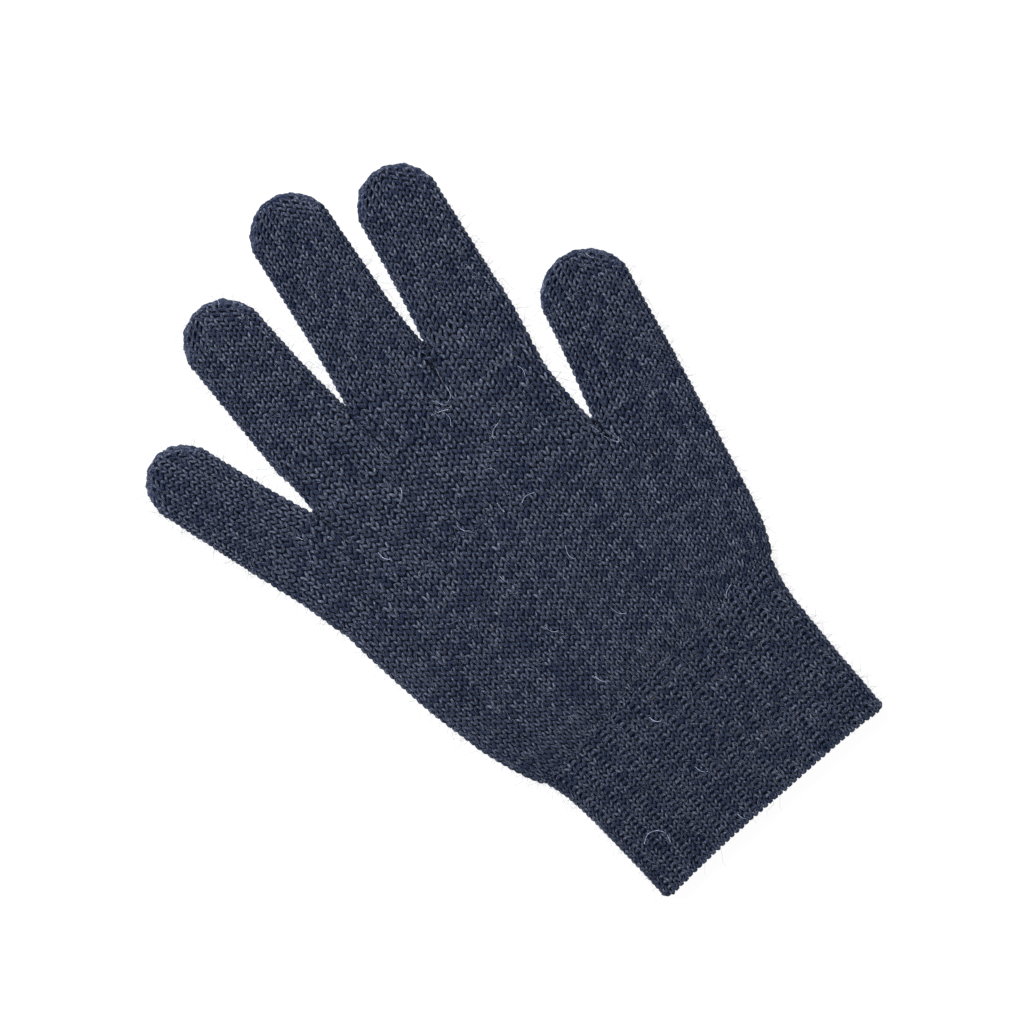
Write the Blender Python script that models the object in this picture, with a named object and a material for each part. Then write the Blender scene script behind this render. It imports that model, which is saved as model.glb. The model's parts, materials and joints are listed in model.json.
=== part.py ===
"""Seamless knitted five-finger wool glove, lying flat with its palm side up.

Run with: blender --background --python part.py
Lengths are written in millimetres: x across the hand from its middle line, towards the thumb, y up
the hand from the cuff's edge, z up from the table. place() turns them into the scene's metres.
Every section of the glove is a flattened tube of knitted fabric, open where the next one joins it.
"""

import math

import bmesh
import bpy
from mathutils import Vector

MM = 0.001
MIDDLE_Y = 123.1  # half the glove's length, so that the origin is under its middle

# Fabric
WALL = 1.2  # one layer of the plain knit
CUFF_WALL = 1.6  # the rib is thicker
GAP = 0.3  # clearance between neighbouring sections
FINGER_THICK = 7.0
PALM_THICK = 7.2
CUFF_THICK = 7.8
PALM_CROWN = 1.2  # how far the palm's upper layer bulges in the middle
FINGER_CROWN = 0.5

# Joining lines up the hand, as y
THUMB_CROTCH = 126.8
LITTLE_CROTCH = 160.2
FINGER_CROTCH = 178.5
CROTCH_WIDTH = 1.6  # the few linked stitches between two finger roots
CROTCH_LENGTH = 3.6
CROTCH_THICK = 4.6

# Side edges of cuff and palm as (y, x), bottom to top
LITTLE_SIDE = ((0, -36.3), (14, -36.8), (30, -37.9), (40, -39.0), (48, -40.8), (54, -43.6), (60, -47.2),
               (71, -50.5), (97, -56.4), (129, -60.5), (149, -66.3), (160.2, -70.0))
THUMB_SIDE = ((0, 53.7), (49, 54.2), (61, 57.2), (71, 62.0), (94, 67.3), (126.8, 74.2))
INDEX_SIDE = ((126.8, 40.0), (138, 40.2), (153, 41.4), (168, 44.9), (178.5, 46.4))
RING_SIDE = ((160.2, -41.3), (178.5, -44.0))  # the three-finger band's edge next to the little finger

# Cuff: its upper end slants, a little higher at the thumb side
CUFF_TOP_LITTLE = 52.0
CUFF_TOP_THUMB = 61.0
EDGE_HEIGHT = 2.1  # the bead of stitches round the cuff's mouth
EDGE_LIP = ((0, 0.5), (0.3, 0), (0.7, 0), (1, 0.2))  # its rounding: share of the height, and inset
ELASTIC_THREADS = 6
ELASTIC_SPACING = 8.5
ELASTIC_SIDE = 0.5  # square section of one covered elastic thread
ELASTIC_DEPTH = 0.9  # from the cuff's outside to the thread
CHANNEL_DEPTH = 0.6  # from the cuff's outside to the floor of its channel

# Digits: root edges as x, lean to the right in degrees, length, and half the width near the tip
DIGITS = {
    "little": {"root_y": LITTLE_CROTCH, "left": -70.0, "right": -44.06,
               "lean": -17.6, "length": 47.5, "half": 11.9},
    "ring": {"root_y": FINGER_CROTCH, "left": -44.0, "right": -15.6,
             "lean": -0.4, "length": 54.1, "half": 12.9},
    "middle": {"root_y": FINGER_CROTCH, "left": -13.5, "right": 15.2,
               "lean": 6.6, "length": 66.9, "half": 13.0},
    "index": {"root_y": FINGER_CROTCH, "left": 17.6, "right": 46.3,
              "lean": 9.2, "length": 53.2, "half": 12.9},
    "thumb": {"root_y": THUMB_CROTCH, "left": 42.45, "right": 74.2,
              "lean": 12.2, "length": 46.6, "half": 14.2},
}
FINGER_CUTS = (0.36, 0.68)  # where the bending lines cross a finger, as parts of its length
THUMB_CUTS = (0.50,)
TIP_ROUND = 12.0  # length of a fingertip's rounded end
TIP_POWER = 2.2  # 2 would be an ellipse; more is blunter
TIP_HALF = 3.4  # half the width that is left at the very end
ROOT_TURN = 0.3  # part of a digit's length over which its courses turn from the palm's to its own direction
HINGE_ABOVE = 1.0  # the bending lines lie this far above the palm side's fabric

# Fineness of the meshes
SIDE_STEPS = 4
FLAT_STEPS = 4
TIP_STEPS = 6


def place(x, y, z):
    return Vector((x, y - MIDDLE_Y, z)) * MM


def edge_x(edge, y):
    """The x of a side edge at height y, on a smooth curve through the edge's points."""
    start = min(max(sum(point[0] <= y for point in edge) - 1, 0), len(edge) - 2)
    (y0, x0), (y1, x1) = edge[start], edge[start + 1]
    before, after = edge[max(start - 1, 0)], edge[min(start + 2, len(edge) - 1)]
    step = y1 - y0
    leaving = (x1 - before[1]) / (y1 - before[0]) * step
    arriving = (after[1] - x0) / (after[0] - y0) * step
    t = (y - y0) / step
    share = 3 * t**2 - 2 * t**3
    return (1 - share) * x0 + share * x1 + (t**3 - 2 * t**2 + t) * leaving + (t**3 - t**2) * arriving


def flattened_ring(half, thick, crown, inset):
    """One cross-section as (along, z) points: round sides, flat underside, crowned upper side."""
    half, low, high = half - inset, inset, thick - inset
    radius = min((high - low) / 2, half * 0.95)
    middle = (low + high) / 2
    points = []
    for side, start in ((1, -90), (-1, 90)):
        for k in range(SIDE_STEPS + 1):
            angle = math.radians(start + 180 * k / SIDE_STEPS)
            points.append((side * (half - radius) + radius * math.cos(angle),
                           middle + (high - low) / 2 * math.sin(angle)))
        for k in range(1, FLAT_STEPS):
            points.append((side * (half - radius) * (1 - 2 * k / FLAT_STEPS), high if side > 0 else low))
    return [(s, z + crown * (1 - (s / half) ** 2) * (z - low) / (high - low)) for s, z in points]


def ring_points(station, inset):
    """A station's cross-section in the scene: it stands upright on the line from its left to its right."""
    left, right = Vector(station["left"]), Vector(station["right"])
    centre, across = (left + right) / 2, (right - left).normalized()
    half = (right - left).length / 2
    ring = flattened_ring(half, station["thick"], station["crown"], inset + station.get("extra", 0))
    return [place(*(centre + s * across), z) for s, z in ring]


def bridge(mesh, first, second):
    for k in range(len(first)):
        after = (k + 1) % len(first)
        mesh.faces.new((first[k], first[after], second[after], second[k]))


def make_object(name, mesh, material, turns_at=None):
    """An object from the bmesh, with its origin on its bending line when it has one."""
    bmesh.ops.recalc_face_normals(mesh, faces=mesh.faces)
    origin = turns_at or Vector((0, 0, 0))
    bmesh.ops.translate(mesh, verts=mesh.verts, vec=-origin)
    data = bpy.data.meshes.new(name)
    mesh.to_mesh(data)
    mesh.free()
    data.shade_smooth()
    data.set_sharp_from_angle(angle=math.radians(40))
    data.materials.append(material)
    made = bpy.data.objects.new(name, data)
    made.location = origin
    bpy.context.collection.objects.link(made)
    return made


def tube(name, stations, wall, material, turns_at=None, closed_tip=False):
    """A hollow section through its stations, open at the first and, unless it is a tip, at the last."""
    mesh = bmesh.new()
    outer = [[mesh.verts.new(p) for p in ring_points(s, 0)] for s in stations]
    inner_stations = stations[:-1] if closed_tip else stations
    inner = [[mesh.verts.new(p) for p in ring_points(s, s.get("wall", wall))] for s in inner_stations]
    for walls in (outer, inner):
        for first, second in zip(walls, walls[1:]):
            bridge(mesh, first, second)
    bridge(mesh, outer[0], inner[0])
    if closed_tip:
        mesh.faces.new(outer[-1])
        mesh.faces.new(inner[-1])
    else:
        bridge(mesh, outer[-1], inner[-1])
    return make_object(name, mesh, material, turns_at)


def fabric(name, colour, roughness):
    material = bpy.data.materials.new(name)
    material.use_nodes = True
    shader = material.node_tree.nodes["Principled BSDF"]
    shader.inputs["Base Color"].default_value = (*colour, 1)
    shader.inputs["Roughness"].default_value = roughness
    shader.inputs["Metallic"].default_value = 0
    return material


def band_station(left_edge, right_edge, left_y, right_y, thick, crown=PALM_CROWN):
    return {"left": (edge_x(left_edge, left_y), left_y), "right": (edge_x(right_edge, right_y), right_y),
            "thick": thick, "crown": crown}


def cuff_station(height, wall=CUFF_WALL, extra=0):
    """A station of the cuff: height runs from 0 at its mouth to 1 at its slanted top."""
    station = band_station(LITTLE_SIDE, THUMB_SIDE, height * CUFF_TOP_LITTLE, height * CUFF_TOP_THUMB,
                           CUFF_THICK, PALM_CROWN * height)
    return {**station, "wall": wall, "extra": extra}


def cuff_height(y):
    """The height, 0 to 1, whose station passes y on the middle of the cuff."""
    return y / ((CUFF_TOP_LITTLE + CUFF_TOP_THUMB) / 2)


def wrist_line():
    left, right = edge_x(LITTLE_SIDE, CUFF_TOP_LITTLE), edge_x(THUMB_SIDE, CUFF_TOP_THUMB)
    return place((left + right) / 2, (CUFF_TOP_LITTLE + CUFF_TOP_THUMB) / 2,
                 PALM_THICK + PALM_CROWN + HINGE_ABOVE)


def elastic_places():
    return [ELASTIC_SPACING * (k + 1) for k in range(ELASTIC_THREADS)]


def cuff(material):
    """The ribbed cuff, with a channel inside for each elastic thread."""
    step = 0.001
    half_channel = ELASTIC_SIDE / 2 + GAP
    stations = [cuff_station(cuff_height(EDGE_HEIGHT + GAP))]
    for y in elastic_places():
        low, high = cuff_height(y - half_channel), cuff_height(y + half_channel)
        stations += [cuff_station(low - step), cuff_station(low, CHANNEL_DEPTH),
                     cuff_station(high, CHANNEL_DEPTH), cuff_station(high + step)]
    stations.append(cuff_station(1 - cuff_height(GAP / 2)))
    return tube("cuff", stations, CUFF_WALL, material, wrist_line())


def cuff_edge(material):
    """The bead of edge stitches round the mouth."""
    stations = [cuff_station(cuff_height(EDGE_HEIGHT * share), CUFF_WALL - inset, inset)
                for share, inset in EDGE_LIP]
    return tube("cuff_edge", stations, CUFF_WALL, material, wrist_line())


def elastic_thread(number, y, material):
    low, high = cuff_height(y - ELASTIC_SIDE / 2), cuff_height(y + ELASTIC_SIDE / 2)
    stations = [cuff_station(height, ELASTIC_SIDE, ELASTIC_DEPTH) for height in (low, high)]
    return tube(f"elastic_thread_{number}", stations, ELASTIC_SIDE, material, wrist_line())


def palm_bands(material):
    """The palm, in three bands that take in the thumb, then the little finger, then the other three."""
    low, high = GAP / 2, -GAP / 2
    five = [band_station(LITTLE_SIDE, THUMB_SIDE, a, b, PALM_THICK)
            for a, b in ((CUFF_TOP_LITTLE + low, CUFF_TOP_THUMB + low), (66, 73), (88, 92), (108, 110),
                         (THUMB_CROTCH + high, THUMB_CROTCH + high))]
    four = [band_station(LITTLE_SIDE, INDEX_SIDE, y, y, PALM_THICK)
            for y in (THUMB_CROTCH + low, 140, 151, LITTLE_CROTCH + high)]
    three = [band_station(RING_SIDE, INDEX_SIDE, y, y, PALM_THICK)
             for y in (LITTLE_CROTCH + low, 173, FINGER_CROTCH + high)]
    tube("five_finger_palm", five, WALL, material)
    tube("four_finger_palm", four, WALL, material)
    tube("three_finger_palm", three, WALL, material)


def crotch_join(name, left, right, y, material):
    """The linked stitches that close the hole between two roots: a small rounded block between them."""
    mesh = bmesh.new()
    bmesh.ops.create_cube(mesh, size=1)
    bmesh.ops.scale(mesh, verts=mesh.verts, vec=Vector((CROTCH_WIDTH, CROTCH_LENGTH, CROTCH_THICK)) * MM)
    rounding = CROTCH_WIDTH * 0.3 * MM
    bmesh.ops.bevel(mesh, geom=mesh.edges[:], offset=rounding, segments=2, affect="EDGES", profile=0.5)
    centre = place((left + right) / 2, y + GAP + CROTCH_LENGTH / 2, PALM_THICK / 2)
    bmesh.ops.translate(mesh, verts=mesh.verts, vec=centre)
    return make_object(name, mesh, material)


def crotch_joins(material):
    little, ring, middle, index, thumb = DIGITS.values()
    ring_side = edge_x(RING_SIDE, LITTLE_CROTCH)
    index_side = edge_x(INDEX_SIDE, THUMB_CROTCH)
    crotch_join("little_ring_join", little["right"], ring_side, LITTLE_CROTCH, material)
    crotch_join("ring_middle_join", ring["right"], middle["left"], FINGER_CROTCH, material)
    crotch_join("middle_index_join", middle["right"], index["left"], FINGER_CROTCH, material)
    crotch_join("thumb_join", index_side, thumb["left"], THUMB_CROTCH, material)


def digit_frame(digit):
    """Root centre and unit vector along the digit, in the plane of the table."""
    root = Vector(((digit["left"] + digit["right"]) / 2, digit["root_y"]))
    lean = math.radians(digit["lean"])
    return root, Vector((math.sin(lean), math.cos(lean)))


def digit_station(digit, along):
    """A station at a distance along the digit: square to it, but in line with the palm at the root."""
    root, axis = digit_frame(digit)
    square = Vector((axis.y, -axis.x))
    share = along / digit["length"]
    root_half = (digit["right"] - digit["left"]) / 2 * square.x
    half = root_half * (1 - share) + digit["half"] * share
    turned = min(1.0, share / ROOT_TURN)
    across = Vector((1, 0)).lerp(square, turned).normalized()
    into_tip = max(0.0, along - (digit["length"] - TIP_ROUND)) / TIP_ROUND
    rounding = (1 - min(into_tip, 1) ** TIP_POWER) ** (1 / TIP_POWER)
    half = max(half / across.dot(square) * rounding, TIP_HALF)
    centre = root + axis * along
    return {"left": tuple(centre - across * half), "right": tuple(centre + across * half),
            "thick": FINGER_THICK, "crown": FINGER_CROWN}


def bending_point(digit, along):
    root, axis = digit_frame(digit)
    return place(*(root + axis * along), FINGER_THICK + HINGE_ABOVE)


def rounded_ends(digit):
    """Distances along the digit for its rounded end, closer together towards the end."""
    straight = digit["length"] - TIP_ROUND
    return [straight + TIP_ROUND * math.sin(math.pi / 2 * k / TIP_STEPS) for k in range(TIP_STEPS + 1)]


def digit_sections(name, digit, cuts, part_names, material):
    """A finger or thumb in sections that meet on its bending lines."""
    ends = [cut * digit["length"] for cut in (0, *cuts, 1)]
    for part, start, end in zip(part_names, ends, ends[1:]):
        is_tip = part == "tip"
        if is_tip:
            alongs = [start + GAP / 2] + rounded_ends(digit)
        else:
            alongs = [start + GAP / 2, (start + end) / 2, end - GAP / 2]
        stations = [digit_station(digit, along) for along in alongs]
        tube(f"{name}_{part}", stations, WALL, material, bending_point(digit, start), closed_tip=is_tip)


def build():
    for old in list(bpy.data.objects):
        bpy.data.objects.remove(old, do_unlink=True)
    plain_knit = fabric("navy wool, plain knit", (0.032, 0.040, 0.062), 0.92)
    rib_knit = fabric("navy wool, rib", (0.028, 0.035, 0.056), 0.94)
    edge_knit = fabric("navy wool, edge stitches", (0.036, 0.045, 0.070), 0.92)
    linked = fabric("navy wool, linked stitches", (0.026, 0.033, 0.053), 0.94)
    elastic = fabric("covered elastic, dark", (0.020, 0.022, 0.028), 0.70)

    cuff(rib_knit)
    cuff_edge(edge_knit)
    for number, y in enumerate(elastic_places(), 1):
        elastic_thread(number, y, elastic)
    palm_bands(plain_knit)
    crotch_joins(linked)
    for name, digit in DIGITS.items():
        if name == "thumb":
            digit_sections(name, digit, THUMB_CUTS, ("lower", "tip"), plain_knit)
        else:
            digit_sections(name, digit, FINGER_CUTS, ("lower", "middle", "tip"), plain_knit)


build()
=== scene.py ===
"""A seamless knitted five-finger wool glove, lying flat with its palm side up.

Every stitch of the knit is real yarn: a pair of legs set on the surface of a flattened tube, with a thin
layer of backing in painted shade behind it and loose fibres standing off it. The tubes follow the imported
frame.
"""

import json
import math

import bmesh
import bpy
import numpy as np
from bpy.props import FloatProperty, FloatVectorProperty, IntProperty, PointerProperty
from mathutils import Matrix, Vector


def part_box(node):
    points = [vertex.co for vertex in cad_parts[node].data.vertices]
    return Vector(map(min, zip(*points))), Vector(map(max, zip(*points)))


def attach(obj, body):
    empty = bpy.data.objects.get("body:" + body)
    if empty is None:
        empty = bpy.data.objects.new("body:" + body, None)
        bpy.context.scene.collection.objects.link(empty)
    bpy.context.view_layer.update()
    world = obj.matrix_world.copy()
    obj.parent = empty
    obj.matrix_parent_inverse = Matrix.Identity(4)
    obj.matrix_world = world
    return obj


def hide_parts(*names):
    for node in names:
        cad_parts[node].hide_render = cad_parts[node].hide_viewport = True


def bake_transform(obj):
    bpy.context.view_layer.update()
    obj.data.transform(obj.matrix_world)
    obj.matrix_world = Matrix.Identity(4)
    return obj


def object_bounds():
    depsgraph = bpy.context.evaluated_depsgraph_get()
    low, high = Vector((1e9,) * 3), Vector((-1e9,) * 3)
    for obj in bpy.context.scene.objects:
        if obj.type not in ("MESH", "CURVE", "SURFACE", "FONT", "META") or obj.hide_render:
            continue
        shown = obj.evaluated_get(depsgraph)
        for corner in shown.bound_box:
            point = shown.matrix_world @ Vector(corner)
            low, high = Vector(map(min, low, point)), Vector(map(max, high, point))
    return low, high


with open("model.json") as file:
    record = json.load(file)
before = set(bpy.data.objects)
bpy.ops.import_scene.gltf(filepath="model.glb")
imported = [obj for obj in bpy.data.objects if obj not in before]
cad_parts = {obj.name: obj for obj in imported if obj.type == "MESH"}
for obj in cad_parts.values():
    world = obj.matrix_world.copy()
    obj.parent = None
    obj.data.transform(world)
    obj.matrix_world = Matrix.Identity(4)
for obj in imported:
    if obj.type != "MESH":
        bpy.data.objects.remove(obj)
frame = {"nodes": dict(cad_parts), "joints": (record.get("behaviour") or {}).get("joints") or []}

bl_info = {
    "name": "Knitted glove",
    "version": (1, 0, 0),
    "blender": (4, 5, 0),
    "location": "3D View > Sidebar > Glove",
    "description": "Knits a five-finger wool glove stitch by stitch round its frame",
    "category": "Object",
}

MM = 0.001
FRAME_LOW, FRAME_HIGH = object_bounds()
JOINTS = {joint["name"]: joint for joint in frame["joints"]}
FINGERS = ("little", "ring", "middle", "index")
FINGER_WALES = {"little": 11, "ring": 12, "middle": 13, "index": 12, "thumb": 13}
KNIT, PURL, LOOP = 0, 1, 2


# ---------------------------------------------------------------- settings


def length_setting(name, description, millimetres):
    return FloatProperty(name=name, description=description, default=millimetres * MM, unit="LENGTH")


def number_setting(name, description, default, **limits):
    return FloatProperty(name=name, description=description, default=default, **limits)


def count_setting(name, description, default):
    return IntProperty(name=name, description=description, default=default)


def colour_setting(name, description, default):
    return FloatVectorProperty(name=name, description=description, default=default, subtype="COLOR")


class GloveKnitSettings(bpy.types.PropertyGroup):
    """Counts and sizes of the knit."""

    course: length_setting("Course height", "Height of one row of palm stitches", 2.16)
    finger_course: length_setting("Finger course height", "Height of one row on a finger", 2.03)
    rib_course: length_setting("Rib course height", "Height of one row of the cuff", 1.94)
    palm_wales: count_setting("Palm columns", "Columns of stitches across the whole palm", 51)
    upper_wales: count_setting("Upper palm columns", "Columns above the thumb", 38)
    root_wales: count_setting("Finger root columns", "Columns across three finger roots", 32)
    ribs: count_setting("Ribs", "Ribs across one side of the cuff", 16)
    rib_depth: length_setting("Rib depth", "How far the groove between two ribs sinks", 0.21)
    tip_round: length_setting("Fingertip rounding", "Length of a fingertip's round end", 13.5)
    jitter: number_setting("Unevenness", "How much the stitches differ", 0.10, min=0, max=0.5)
    fibre_density: number_setting("Loose fibres", "Fibres standing off each square metre", 190000, min=0)
    stray_density: number_setting("Stray fibres", "Pale fibres lying on each square metre", 1500, min=0)
    seed: count_setting("Seed", "Seed of everything uneven", 7)


class GloveWoolSettings(bpy.types.PropertyGroup):
    """Colours of the spun wool."""

    # The deep colour is the blend's darkest fibre, and, dimmed, the painted shade that the yarn and the
    # backing darken towards.
    deep: colour_setting("Deep fibre", "Darkest fibre of the blend", (0.0030, 0.0070, 0.0280))
    body: colour_setting("Body fibre", "Main fibre of the blend", (0.0325, 0.0385, 0.0600))
    pale: colour_setting("Pale fibre", "Lightest fibre of the blend", (0.18, 0.20, 0.28))
    # Partly pale fibres of the blend, partly painted light: thin fibres let light through and look paler.
    hair: colour_setting("Loose fibre", "Fibres that stand off", (0.17, 0.20, 0.27))


class GloveStageSettings(bpy.types.PropertyGroup):
    """Camera, light and floor."""

    turn: number_setting(
        "Turn", "How far the view is turned about the vertical", math.radians(-40), subtype="ANGLE"
    )
    span: length_setting("Span", "Width that the view takes in", 317.4)
    aim: FloatVectorProperty(
        name="Aim", description="Point that the view is centred on", subtype="XYZ",
        default=(4.0 * MM, -0.6 * MM, 4.0 * MM)
    )
    lens: number_setting("Lens", "Focal length in millimetres", 110)
    key: number_setting("Key light", "Power of the large soft light", 34, subtype="POWER")
    rim: number_setting("Rim light", "Power of the weak light from the cuff's side", 4, subtype="POWER")
    fill: number_setting("Fill light", "Strength of the light from all round", 0.40)


# ---------------------------------------------------------------- node trees


class Value:
    """An output socket that Python's arithmetic can work on."""

    def __init__(self, wires, socket):
        self.wires, self.socket = wires, socket

    def also(self, name):
        """Another output of the same node."""
        return Value(self.wires, self.socket.node.outputs[name])

    def math(self, operation, *others):
        return self.wires.add("ShaderNodeMath", dict(enumerate((self, *others))), operation=operation)

    def __add__(self, other):
        return self.math("ADD", other)

    def __radd__(self, other):
        return self.math("ADD", other)

    def __sub__(self, other):
        return self.math("SUBTRACT", other)

    def __rsub__(self, other):
        return (self * -1).math("ADD", other)

    def __mul__(self, other):
        return self.math("MULTIPLY", other)

    def __rmul__(self, other):
        return self.math("MULTIPLY", other)

    def within(self, low, high):
        """0 below low, 1 above high, and even in between."""
        sockets = {"Value": self, "From Min": low, "From Max": high}
        return self.wires.add("ShaderNodeMapRange", sockets, clamp=True)


class Wires:
    """A node tree that grows by one call for each node."""

    def __init__(self, tree):
        self.tree = tree

    def feed(self, socket, value):
        """Links a value to a socket, or gives the socket a value of its own."""
        if isinstance(value, Value):
            self.tree.links.new(value.socket, socket)
        else:
            socket.default_value = value

    def add(self, kind, sockets=None, out=0, **settings):
        """A node of this kind. Its settings are set first, then the values or links of its sockets."""
        node = self.tree.nodes.new(kind)
        for name, value in settings.items():
            setattr(node, name, value)
        for name, value in (sockets or {}).items():
            self.feed(node.inputs[name], value)
        return Value(self, node.outputs[out]) if len(node.outputs) else node

    def mix(self, factor, first, second):
        """A colour between two colours."""
        return self.add("ShaderNodeMix", {0: factor, 6: first, 7: second}, out=2, data_type="RGBA")

    def attribute(self, name):
        """A number that a piece's points carry."""
        return self.add("ShaderNodeAttribute", attribute_name=name, out="Fac")

    def noise(self, place, scale, detail=2.0, roughness=0.5, stretch=None):
        """Noise from 0 to 1, at a scale in cells to the metre, or stretched by a vector."""
        if stretch:
            place = self.add("ShaderNodeVectorMath", {0: place, 1: stretch}, operation="MULTIPLY")
        sockets = {"Vector": place, "Scale": scale, "Detail": detail, "Roughness": roughness}
        return self.add("ShaderNodeTexNoise", sockets)


def rgba(colour, strength=1.0):
    return (*[channel * strength for channel in colour], 1.0)


def new_material(name, **constants):
    """A material with these constants on its shader, its tree, and the place on the piece to start from."""
    material = bpy.data.materials.new(name)
    material.use_nodes = True
    wires = Wires(material.node_tree)
    shader = material.node_tree.nodes["Principled BSDF"]
    for socket, value in constants.items():
        shader.inputs[socket.replace("_", " ")].default_value = value
    return material, wires, shader, wires.add("ShaderNodeTexCoord", out="Object")


def finish_material(wires, shader, colour, roughness, height, distance):
    """Wires colour, roughness and a bump of that height to the shader."""
    bump = wires.add("ShaderNodeBump", {"Height": height, "Distance": distance})
    for name, value in (("Base Color", colour), ("Roughness", roughness), ("Normal", bump)):
        wires.tree.links.new(value.socket, shader.inputs[name])


def yarn_material(name, strength=1.0):
    """Two-ply wool spun from dark, blue and pale fibres, so that no two stitches have quite one colour."""
    wool = bpy.context.scene.glove_wool
    material, w, shader, place = new_material(
        name, Sheen_Weight=0.10, Sheen_Roughness=0.5, Sheen_Tint=(0.60, 0.75, 1.0, 1.0),
        Specular_IOR_Level=0.2, Specular_Tint=(0.55, 0.72, 1.0, 1.0)
    )
    strand = w.add("ShaderNodeUVMap", uv_map="strand")
    round_the_strand = w.add("ShaderNodeSeparateXYZ", {"Vector": strand})
    along_it = round_the_strand.also("Y")
    tone, sink_shade, crease_line_shade = (w.attribute(name) for name in ("tone", "sink_shade", "crease_line_shade"))
    strand_at = w.add("ShaderNodeCombineXYZ", {"X": round_the_strand, "Y": along_it, "Z": tone})
    heather = w.noise(place, 900, detail=3, roughness=0.7)
    cloud = w.noise(place, 90)
    fibres = w.noise(strand_at, 1.0, detail=3, roughness=0.7, stretch=(9.0, 2.6, 40.0))
    specks = w.noise(place, 1500, detail=1)
    twist = (round_the_strand * 12.6 + along_it * 9.0).math("SINE") * 0.5 + 0.5
    blend = (heather * 0.8 + tone * 0.35 + fibres * 1.1 + cloud * 0.5 - 1.0).within(0.05, 0.70)
    pale = (fibres * 0.9 + specks * 0.6 + tone * 0.12).within(0.82, 1.08) * 0.8
    base = w.mix(blend, rgba(wool.deep, strength), rgba(wool.body, strength))
    lit = w.mix(pale, base, rgba(wool.pale, strength))
    # Painted shade: the yarn darkens towards a dimmed deep fibre colour where it dives into the knit, on its
    # underside and along the creases.
    shade = (sink_shade * 0.9 + crease_line_shade * 0.8).math("MINIMUM", 0.94)
    colour = w.mix(shade, lit, rgba(wool.deep, strength * 0.70))
    finish_material(w, shader, colour, heather * 0.12 + 0.84, twist * 0.7 + fibres * 0.5, 0.16 * MM)
    return material


def backing_material(name):
    """What shows between the stitches: the same wool, darkened to a painted shade, in rows of small arcs."""
    wool = bpy.context.scene.glove_wool
    material, w, shader, place = new_material(
        name, Sheen_Weight=0.02, Sheen_Roughness=0.6, Specular_IOR_Level=0.05
    )
    heather = w.noise(place, 900, detail=4, roughness=0.7)
    cells = w.add("ShaderNodeTexVoronoi", {"Vector": place, "Scale": 620.0}, feature="F1")
    # Painted shade: the backing takes the deep and body colours at a quarter and a fifth of their strength,
    # as the shadow between the stitches.
    colour = w.mix(heather.within(0.35, 0.75), rgba(wool.deep, 0.25), rgba(wool.body, 0.20))
    finish_material(w, shader, colour, heather * 0.1 + 0.88, cells * 0.6 + heather * 0.4, 0.25 * MM)
    return material


def hair_material(name, strength=1.0):
    """Loose fibres: fine, pale, and mixed from two colours in soft patches; the paleness is partly painted
    light through thin fibres.
    """
    wool = bpy.context.scene.glove_wool
    material, w, shader, place = new_material(name, Sheen_Weight=0.4, Specular_IOR_Level=0.4)
    patch = w.noise(place, 260)
    colour = w.mix(patch.within(0.35, 0.7), rgba(wool.body, strength), rgba(wool.hair, strength))
    finish_material(w, shader, colour, patch * 0.2 + 0.6, patch, 0.01 * MM)
    return material


def elastic_material(name):
    """Fine thread wound round a rubber core."""
    material, w, shader, place = new_material(name, Specular_IOR_Level=0.4)
    wound = w.add("ShaderNodeTexWave", {"Vector": place, "Scale": 900.0, "Distortion": 1.5})
    dirt = w.noise(place, 700)
    colour = w.mix(wound * 0.6 + dirt * 0.3, (0.012, 0.014, 0.020, 1), (0.045, 0.050, 0.065, 1))
    finish_material(w, shader, colour, dirt * 0.2 + 0.55, wound, 0.05 * MM)
    return material


# ---------------------------------------------------------------- the shape of the glove, from the frame


def flat(point):
    return np.array([point[0], point[1]], float)


def unit(vectors):
    return vectors / np.maximum(np.linalg.norm(vectors, axis=-1, keepdims=True), 1e-12)


def node_edges(name):
    """The ends of every edge of a CAD node's mesh."""
    mesh = frame["nodes"][name].data
    points = np.array([vertex.co for vertex in mesh.vertices], float)
    ends = np.array([edge.vertices[:] for edge in mesh.edges])
    return points[ends[:, 0]], points[ends[:, 1]]


def cut_ends(name, point, across):
    """How far each way along across a CAD node reaches where an upright plane through point cuts it."""
    first, second = node_edges(name)
    normal = np.array([-across[1], across[0]])
    a = (first[:, :2] - point) @ normal
    b = (second[:, :2] - point) @ normal
    crossing = (a * b) < 0
    share = (a[crossing] / (a[crossing] - b[crossing]))[:, None]
    cut = first[crossing, :2] * (1 - share) + second[crossing, :2] * share
    along = (cut - point) @ across
    return along.min(), along.max()


def smooth_through(samples, share):
    """A smooth curve through evenly spaced samples."""
    last = len(samples) - 1
    at = np.clip(share, 0, 1) * last
    k = np.clip(np.floor(at).astype(int), 0, last - 1)
    t = (at - k).reshape(-1, *([1] * (samples.ndim - 1)))
    p0, p1 = samples[np.maximum(k - 1, 0)], samples[k]
    p2, p3 = samples[k + 1], samples[np.minimum(k + 2, last)]
    return p1 + 0.5 * t * (p2 - p0 + t * (2 * p0 - 5 * p1 + 4 * p2 - p3 + t * (3 * (p1 - p2) + p3 - p0)))


def ramp(value):
    """Smoothly from 0 to 1."""
    t = np.clip(value, 0, 1)
    return t * t * (3 - 2 * t)


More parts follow.
